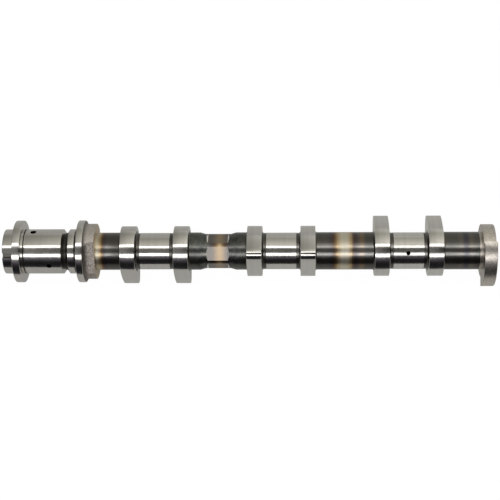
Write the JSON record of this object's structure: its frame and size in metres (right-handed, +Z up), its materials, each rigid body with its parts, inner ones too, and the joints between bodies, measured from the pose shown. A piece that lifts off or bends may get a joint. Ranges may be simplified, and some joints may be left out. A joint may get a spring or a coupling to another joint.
{
  "type": "camshaft",
  "caption": "Cast camshaft for one bank of a V6 engine: ground journals and cam lobes in pairs, thrust collars, holding flats, a waist with six wrench flats and a trigger wheel.",
  "frame": {"origin": "middle of the front journal, on the axis of rotation", "axes": "+X along the axis of rotation towards the trigger wheel, +Z up as the shaft lies"},
  "size_m": [0.387, 0.0581, 0.0535],
  "materials": {
    "camshaft": "ground journals and lobes, dark heat-tinted shaft between them, rough cast boss"
  },
  "bodies": {
    "root": {"camshaft": "camshaft"}
  },
  "joints": []
}
